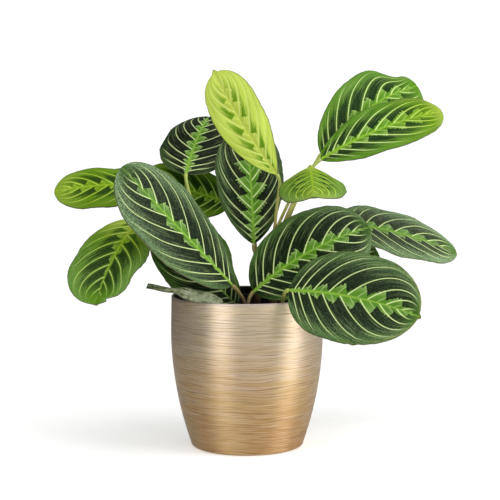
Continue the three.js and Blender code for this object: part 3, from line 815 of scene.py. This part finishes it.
def blade_mesh(leaf):
    """A blade as a closed thin shell. Its vertices keep their place on the blade for the colours."""
    mesh = bmesh.new()
    kept = (
        "along", "across", "rib", "edge", "vein", "node", "gap", "age", "band", "bloom_and_sheen", "dry",
        "faded", "own",
    )
    layers = {layer: mesh.verts.layers.float.new(layer) for layer in kept}
    thickness = mesh.verts.layers.float_vector.new("thickness")
    bmesh.ops.create_grid(mesh, x_segments=BLADE_ROWS, y_segments=BLADE_COLUMNS, size=1)
    fold = math.radians(leaf["fold"])
    cup = math.radians(leaf["cup"])

    # The grid's rows are laid one after the other along the midrib, and crowd towards both ends.
    rows = {}
    for vert in mesh.verts:
        rows.setdefault(round(vert.co.x, 4), []).append(vert)
    middle = Vector(leaf["at"])
    before = 0.0
    for key in sorted(rows):
        along = (1 - math.cos(math.pi * (key + 1) / 2)) / 2
        halfway = blade_directions(leaf, (along + before) / 2)[0]
        middle = middle + halfway * leaf["length"] * (along - before)
        before = along
        side, face = blade_directions(leaf, along)[1:]
        half = blade_half_width(leaf, along)
        for vert in rows[key]:
            across = vert.co.y
            sign = (across > 0) - (across < 0)
            slope = fold - cup * abs(across)
            reach = half / cup * (math.sin(fold) - math.sin(slope)) * sign
            lift = half / cup * (math.cos(slope) - math.cos(fold))
            reach *= margin_share(leaf, along, sign)
            uneven = noise.noise(Vector((along * MARGIN_NIBBLES, sign, leaf["heading"])))
            reach *= 1 + MARGIN_NIBBLE * uneven * abs(across) ** 3
            turn = 2 * math.pi * MARGIN_WAVES * along + leaf["heading"]
            lift += MARGIN_WAVE * across ** 2 * math.sin(turn) * math.sin(math.pi * along)
            place = middle + side * reach + face * lift

            # The blade puffs up a little between its veins, and is grooved along the midrib.
            shift = VEIN_STAGGER if across < 0 else 0
            count = vein_count(along, abs(across))
            gap = vein_gap(leaf, along, across)
            from_vein = abs(count + shift - round(count + shift)) * gap / QUILT_WIDTH
            fade = min(1.0, QUILT_RISES * abs(across))
            fade *= min(1.0, max(0.0, QUILT_FALLS * (QUILT_REACH - abs(across))))
            dent = QUILT_DEPTH * math.exp(-from_vein ** 2) * fade * (count > 0.5)
            dent += RIB_GROOVE_DEPTH * math.exp(-(across * half / RIB_GROOVE_WIDTH) ** 2)
            ripple = RIPPLE * noise.noise(place / RIPPLE_SIZE) * (RIPPLE_AT_RIB + abs(across))
            ripple *= min(1.0, RIPPLE_RISES * along) * leaf.get("crumple", 1.0)
            place = place + face * (ripple - dent)
            keel = math.exp(-(across * half / KEEL_WIDTH) ** 2)
            thick = BLADE_THICKNESS + (KEEL_THICKNESS - BLADE_THICKNESS) * keel
            vert.co = (place + face * (BLADE_THICKNESS / 2 - thick)) * MM
            vert[thickness] = face * thick * MM
            # "Own" differs from leaf to leaf, so that no two have the same streaks.
            values = {
                "along": along,
                "across": across,
                "rib": abs(across) * half,
                "edge": min((1 - abs(across)) * half, (1 - along) * leaf["length"]),
                "vein": count,
                "node": vein_count(along, 0),
                "gap": gap,
                "age": along_three(leaf["age"], along),
                "band": along_three(leaf["band"], along),
                "bloom_and_sheen": along_three(leaf["bloom_and_sheen"], along),
                "dry": leaf.get("dry", 0.0) * max(0.0, along * 2 - 1),
                "faded": leaf.get("faded", 0.0),
                "own": leaf["heading"] / 7,
            }
            for layer, value in values.items():
                vert[layers[layer]] = value

    # The grid is the underside. Its copy, moved out by the thickness, is the top.
    under = list(mesh.faces)
    made = bmesh.ops.extrude_face_region(mesh, geom=under, use_keep_orig=True)["geom"]
    upper = {item for item in made if isinstance(item, bmesh.types.BMFace)}
    for vert in made:
        if isinstance(vert, bmesh.types.BMVert):
            vert.co += vert[thickness]
    mesh.verts.layers.float_vector.remove(thickness)
    for face in mesh.faces:
        face.material_index = BLADE_SLOTS.index("margin")
    for face in under:
        face.material_index = BLADE_SLOTS.index("underside")
    for face in upper:
        face.material_index = BLADE_SLOTS.index("top")
    bmesh.ops.recalc_face_normals(mesh, faces=mesh.faces)
    return mesh


# The top's colours come from where on the blade a place lies, between which veins, and the leaf's age.
# The silvery bloom colours are partly real bloom and partly painted sheen.
BLOOM_AND_SHEEN_SILVER = linear(142, 170, 130)
BLOOM_AND_SHEEN_ON_LIME = linear(118, 152, 96)
# The withered colours are partly painted light and shade on the crinkles and highlights on the
# creases.
WITHERED_DARK_AND_SHADE = linear(104, 116, 76)
WITHERED_PALE_AND_LIT = linear(214, 218, 180)
WITHERED_CREASE_AND_HIGHLIGHT = linear(206, 216, 184)
MARGIN_BROWN = linear(76, 84, 50)
DRIED_BROWN = linear(150, 112, 62)
DRIED_YELLOW = linear(206, 196, 110)
PEBBLES = 900.0

leaf_top, leaf_shader, wire = new_material("leaf_top", Specular_IOR_Level=0.08)
across = kept_value(wire, "across")
along = kept_value(wire, "along")
age = kept_value(wire, "age")
band = kept_value(wire, "band")
bloom_and_sheen = kept_value(wire, "bloom_and_sheen")
gap = kept_value(wire, "gap")
edge = kept_value(wire, "edge")
own = kept_value(wire, "own")
place = wire.node("TexCoord", output="Object")
outward = wire.maths("ABSOLUTE", across)
stagger = wire.maths("LESS_THAN", across, 0.0) * VEIN_STAGGER
vein = kept_value(wire, "vein") + stagger
from_vein = from_whole(vein)
pebbled = mottle(place, PEBBLES, 2.0)
frayed = mottle(place, 260.0, 2.0)


def along_veins(between, outwards, detail):
    """A noise with so many spots from vein to vein and so many from the midrib to the margin."""
    where = wire.node(
        "CombineXYZ", sockets={"X": vein * between, "Y": across * outwards, "Z": own}
    )
    return wire.node("TexNoise", sockets={"Vector": where, "Scale": 1.0, "Detail": detail})


streaks = along_veins(9.0, 3.0, 2.0)
cells = along_veins(2.2, 6.0, 3.0)


def by_age(*colours):
    """A colour that follows the leaf's age: mature, bright, lime and lemon."""
    places = (0.0, 0.45, 0.78, 1.0)
    return age.node("ValToRGB", {"stops": list(zip(places, colours))}, {"Fac": age})


field = by_age(linear(56, 90, 28), linear(86, 136, 20), linear(94, 134, 2), linear(208, 231, 94))
patch = by_age(linear(8, 20, 3), linear(18, 48, 8), linear(36, 68, 1), linear(106, 152, 10))
lobe = by_age(linear(84, 134, 26), linear(92, 144, 26), linear(106, 148, 10), linear(198, 218, 80))
light = by_age(
    linear(204, 224, 154), linear(212, 234, 150), linear(178, 206, 66), linear(238, 250, 150)
)

# The blade is near black beside the band and greener towards the margin, in cells that the veins
# part, and fine streaks run along the veins.
patch_end = 1.14 - age * 0.59
cell = 1 - age * 0.9 * from_vein.step(0.28, 0.05)
ragged = (cells - 0.5) * 0.5 + (streaks - 0.5) * 0.25
dark = (outward + ragged).step(patch_end, patch_end * 0.55) * cell
dark = dark * along.step(1.02 - age * 0.08, 0.85 - age * 0.2)
colour = wire.mix(dark, field, patch)
streak_show = outward.step(0.15, 0.75) * 0.5 + 0.06
pale_streaks = streaks.step(0.50, 0.72) * streak_show
colour = wire.mix(pale_streaks, colour, wire.mix(0.35, field, light))
colour = wire.mix(streaks.step(0.48, 0.28) * streak_show * 0.8, colour, patch)

# The silvery bloom of tiny bumps, partly real bloom and partly painted sheen, shows most near the
# margin and the tip.
bloom_and_sheen_here = bloom_and_sheen * (0.12 + 0.88 * outward.step(0.35, 1.0))
bloom_and_sheen_here = bloom_and_sheen_here * (pebbled.step(0.36, 0.64) * 0.62 + cells * 0.5 + streaks * 0.5 - 0.36)
bumps_sheen_show = (bloom_and_sheen * 0.62 + 0.14) * (outward * 0.75 + 0.25)
bloom_and_sheen_here = bloom_and_sheen_here + bumps_sheen_show * mottle(place, 1300.0, 1.0).step(0.54, 0.74)
colour = wire.mix(bloom_and_sheen_here, colour, BLOOM_AND_SHEEN_SILVER)

# Between two veins the lime band widens towards the tip, then steps back with a toothed edge.
step_on = wire.maths("FRACT", kept_value(wire, "node") + stagger + (frayed - 0.5) * 0.24)
lobe_out = wire.maths("POWER", wire.maths("MINIMUM", step_on * 1.25, 1.0), 0.8)
lobe_out = lobe_out * step_on.step(0.99, 0.78)
teeth = (from_whole(step_on * 4.4 + outward * 5.0) - 0.25) * 0.42
reach_out = band * (0.28 + lobe_out * (0.74 + teeth) + (frayed - 0.5) * 0.3)
reach_out = reach_out * along.step(1.0, 0.82)
lime = (reach_out - outward).step(-0.012, 0.016)
lobe_tint = (outward / band).step(0.35, 1.0) * 0.7 + (streaks - 0.5) * 0.9
lobe_colour = wire.mix(lobe_tint, lobe, wire.mix(0.5, lobe, light))
lobe_colour = wire.mix(cells.step(0.5, 0.3) * 0.25, lobe_colour, patch)
lobe_vein = from_whole(vein + 0.5) * gap
lobe_colour = wire.mix(lobe_vein.step(0.5, 0.1) * 0.6, lobe_colour, light)
# The bloom over the lime lobes is partly painted sheen.
lobe_colour = wire.mix(bloom_and_sheen * 0.35, lobe_colour, BLOOM_AND_SHEEN_ON_LIME)
fade_at_tip = 1 - bloom_and_sheen * along.step(0.62, 0.95) * 0.55
colour = wire.mix(lime * fade_at_tip, colour, lobe_colour)

# A blade that withers goes grey-green, and its markings fade to broad pale creases. Its pale and dark
# patches are partly its own mottling and partly painted light and shade on its crinkles, and the pale
# creases are partly painted highlights.
faded = kept_value(wire, "faded")
crinkle_tone_and_light = (cells + frayed) * 0.5
withered = wire.mix(crinkle_tone_and_light.step(0.41, 0.57), WITHERED_DARK_AND_SHADE, WITHERED_PALE_AND_LIT)
colour = wire.mix(faded * (0.88 + (cells - 0.5) * 0.5), colour, withered)

# The veins are thinner further out, and hardly show where there is no lime band at all.
nearest = from_vein * gap
half_line = 0.54 - outward * 0.26 + faded * 0.9
on_vein = nearest.step(half_line + 0.26, half_line - 0.26)
on_vein = on_vein * vein.step(0.5, 0.8) * edge.step(1.5, 8.0) * along.step(0.97, 0.86)
on_vein = on_vein * (0.3 + 0.7 * band.step(0.0, 0.06)) * (1 - age.step(0.84, 1.0) * 0.35)
# On a withered blade the veins turn into pale creases, partly painted highlights.
colour = wire.mix(on_vein, colour, wire.mix(faded, light, WITHERED_CREASE_AND_HIGHLIGHT))

rib = by_age(linear(128, 172, 60), linear(136, 182, 52), linear(146, 180, 36), linear(200, 216, 92))
rib_half = 1.3 - along * 0.95
on_rib = kept_value(wire, "rib").step(rib_half + 0.4, rib_half - 0.3) * fade_at_tip
on_rib = on_rib * (0.12 + 0.88 * band.step(0.0, 0.10)) * (1 - faded * 0.9)
colour = wire.mix(on_rib, colour, rib)

speckled = {0: colour, "Scale": 0.9 + pebbled * 0.2}
colour = wire.node("VectorMath", {"operation": "SCALE"}, speckled)

# The margin is thin and brownish, and dries up in yellow and brown spots on some tips.
colour = wire.mix(edge.step(0.9, 0.3) * 0.7, colour, MARGIN_BROWN)
dried = kept_value(wire, "dry") * edge.step(5.0, 0.5) * cells.step(0.42, 0.6)
colour = wire.mix(dried, colour, wire.mix(frayed.step(0.4, 0.6), DRIED_BROWN, DRIED_YELLOW))
feed(leaf_shader, "Base Color", colour)
feed(leaf_shader, "Roughness", 0.42 + pebbled * 0.16)
grooves = on_vein * 0.3 + on_rib * 0.5
feed_bump(leaf_shader, 0.55, 0.0003, pebbled * 0.35 + streaks * 0.3 - grooves)

# The underside is paler and duller, and its veins stand out as ridges.
UNDER_CLOUD = linear(112, 132, 108)
UNDER_RIDGE = linear(168, 186, 140)
UNDER_RIB = linear(170, 190, 120)

leaf_under, under_shader, wire = new_material("leaf_underside", Specular_IOR_Level=0.4)
across = kept_value(wire, "across")
age = kept_value(wire, "age")
place = wire.node("TexCoord", output="Object")
outward = wire.maths("ABSOLUTE", across)
vein = kept_value(wire, "vein") + wire.maths("LESS_THAN", across, 0.0) * VEIN_STAGGER
pebbled = mottle(place, PEBBLES, 2.0)
cloudy = mottle(place, 80.0, 3.0)
nearest = from_whole(vein) * kept_value(wire, "gap")
ridge = nearest.step(0.9, 0.2) * outward.step(0.95, 0.8)
colour = by_age(
    linear(122, 146, 116), linear(136, 168, 96), linear(152, 176, 84), linear(190, 208, 110)
)
colour = wire.mix(cloudy * 0.5, colour, UNDER_CLOUD)
colour = wire.mix(ridge * 0.6, colour, UNDER_RIDGE)
colour = wire.mix(outward.step(0.08, 0.04), colour, UNDER_RIB)
feed(under_shader, "Base Color", colour)
feed(under_shader, "Roughness", 0.5 + pebbled * 0.2)
feed_bump(under_shader, 0.5, 0.0003, pebbled * 0.4 + ridge * 0.6)

# Between the two faces, the cut of the margin is olive brown.
MARGIN_OLIVE = linear(92, 98, 70)
MARGIN_TAN = linear(124, 122, 92)

leaf_margin, margin_shader, wire = new_material("leaf_margin", Roughness=0.6)
cloudy = mottle(wire.node("TexCoord", output="Object"), 200.0, 2.0)
feed(margin_shader, "Base Color", wire.mix(cloudy, MARGIN_OLIVE, MARGIN_TAN))

for name, leaf in LEAVES.items():
    blade = new_piece("blade_" + name, blade_mesh(leaf), [leaf_top, leaf_under, leaf_margin])
    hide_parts("leaf_" + name)
    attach(blade, "root")


# The shoots: each is a short stem in the soil from which leaf stalks rise. A stalk is wrapped in a
# sheath at its foot, slim above it, and ends in a swollen joint that turns the blade to the light.
STEM_RADIUS = 4
STEM_ROUNDING = 1.2
STEM_ABOVE_SOIL = 4
STEM_BELOW_SOIL = 20
STALK_ROOT_DEPTH = 3
STALK_RADIUS = 1.4
SHEATH_RADIUS = 2.2
SHEATH_SHARE = 0.34
SHEATH_END = 0.08
JOINT_RADIUS = 1.7
JOINT_LENGTH = 7
STALK_SIDES = 14
STALK_STEP = 2.4
STALK_LEAST_STEPS = 10
BLADE_GAP = 0.3
BROWN_STALKS = ("centre", "front_left", "mid_right")
BROWN_STALK_RISE = 0.3

# Each shoot has the place of its stem, and for each of its leaves how far the stalk climbs before it
# bends over, and how far it runs in the blade's direction.
SHOOTS = {
    "front": ((0, -34), dict(front_left=(14, 10), rim_left=(6, 6), mid_right=(8, 6))),
    "right_front": ((30, -36), dict(front_right=(16, 5))),
    "centre": (
        (22, 8),
        dict(low_left=(3, 6), centre=(26, 18), lemon_top=(105, 12), under_right=(16, 16)),
    ),
    "left": ((-18, 12), dict(lime_left=(20, 40), hanging_left=(30, 34), upper_left=(20, 16))),
    "right": (
        (8, 19),
        dict(
            back_top_right=(10, 30), front_top_right=(12, 24), small_right=(50, 22),
            far_right=(40, 30),
        ),
    ),
    "back": ((9, 38), dict(behind_left=(20, 30), back_centre=(50, 20))),
    "back_right": ((28, 34), dict(back_right=(30, 18), back_low_right=(16, 14))),
    "back_left": ((-22, 36), dict(back_left=(30, 10), back_low_left=(14, 14))),
}


def bezier(points, share):
    """A place on a cubic curve, and the curve's direction there."""
    start, first, second, end = points
    rest = 1 - share
    place = start * rest ** 3 + first * 3 * rest ** 2 * share + second * 3 * rest * share ** 2
    place = place + end * share ** 3
    way = (first - start) * rest ** 2 + (second - first) * 2 * rest * share
    way = way + (end - second) * share ** 2
    return place, way.normalized()


def tube(mesh, rings, height_layer):
    """A closed tube through rings, each a place, a direction, a radius and a share of its height."""
    before = None
    for number, (place, way, radius, share) in enumerate(rings):
        turn = way.to_track_quat("Z", "X").to_matrix().to_4x4()
        ring = bmesh.ops.create_circle(
            mesh, segments=STALK_SIDES, radius=radius * MM,
            cap_ends=number in (0, len(rings) - 1), matrix=Matrix.Translation(place * MM) @ turn,
        )["verts"]
        for vert in ring:
            vert[height_layer] = share
        edges = {edge for vert in ring for edge in vert.link_edges}
        if before is not None:
            bmesh.ops.bridge_loops(mesh, edges=list(before | edges))
        before = edges


def shoot_mesh(foot, stalks):
    """A stem and its stalks. The vertices keep how far up they lie, for the colour."""
    mesh = bmesh.new()
    height_layer = mesh.verts.layers.float.new("rise")
    up = Vector((0, 0, 1))
    stem_foot = Vector((foot[0], foot[1], SOIL_TOP - STEM_BELOW_SOIL))
    stem_height = STEM_BELOW_SOIL + STEM_ABOVE_SOIL
    tube(mesh, [
        (stem_foot, up, STEM_RADIUS * 0.9, 0.0),
        (stem_foot + up * stem_height * 0.6, up, STEM_RADIUS, 0.0),
        (stem_foot + up * (stem_height - STEM_ROUNDING), up, STEM_RADIUS * 0.94, 0.0),
        (stem_foot + up * stem_height, up, STEM_RADIUS * 0.6, 0.0),
    ], height_layer)
    for name, (climb, run) in stalks.items():
        leaf = LEAVES[name]
        midrib = blade_directions(leaf, 0)[0]
        end = Vector(leaf["at"]) - midrib * BLADE_GAP
        start = Vector((foot[0], foot[1], SOIL_TOP + STEM_ABOVE_SOIL - STALK_ROOT_DEPTH))
        points = (start, start + up * (climb + STALK_ROOT_DEPTH), end - midrib * run, end)
        length = (end - start).length
        count = max(STALK_LEAST_STEPS, round(length / STALK_STEP))
        greening = 0.9 * (BROWN_STALK_RISE if name in BROWN_STALKS else 1.0)
        rings = []
        for step in range(count + 1):
            share = step / count
            place, way = bezier(points, share)
            sheath = min(1.0, max(0.0, (SHEATH_SHARE - share) / SHEATH_END))
            joint = min(1.0, max(0.0, 1.3 - (1 - share) * length / JOINT_LENGTH))
            radius = STALK_RADIUS + (SHEATH_RADIUS - STALK_RADIUS) * sheath
            radius += (JOINT_RADIUS - STALK_RADIUS) * math.sin(joint * math.pi / 1.6)
            rings.append((place, way, radius, 0.1 + greening * share))
        tube(mesh, rings, height_layer)
    bmesh.ops.recalc_face_normals(mesh, faces=mesh.faces)
    return mesh


# The skin is brown at the foot and turns green upwards, with fine fibres that run up it.
FIBRE_DRAWN_OUT = (1, 1, 0.06)
FIBRE_BROWN = linear(112, 84, 58)

stalk_skin, stalk_shader, wire = new_material("stalk_skin", Specular_IOR_Level=0.4)
place = wire.node("TexCoord", output="Object")
drawn = wire.node("VectorMath", {"operation": "MULTIPLY"}, {0: place, 1: FIBRE_DRAWN_OUT})
fibres = mottle(drawn, 1300.0, 2.0)
tint = kept_value(wire, "rise") + (mottle(place, 90.0, 3.0) - 0.5) * 0.3
colour = wire.node("ValToRGB", {"stops": [
    (0.0, linear(62, 42, 32)),
    (0.22, linear(98, 74, 50)),
    (0.40, linear(160, 150, 84)),
    (0.75, linear(182, 186, 100)),
    (1.0, linear(176, 196, 96)),
]}, {"Fac": tint})
colour = wire.mix(fibres.step(0.5, 0.7) * 0.25, colour, FIBRE_BROWN)
feed(stalk_shader, "Base Color", colour)
feed(stalk_shader, "Roughness", 0.42 + fibres * 0.2)
feed_bump(stalk_shader, 0.5, 0.0003, fibres)

for name, (foot, stalks) in SHOOTS.items():
    shoot = new_piece("stalks_" + name, shoot_mesh(foot, stalks), [stalk_skin])
    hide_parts("shoot_" + name)
    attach(shoot, "root")
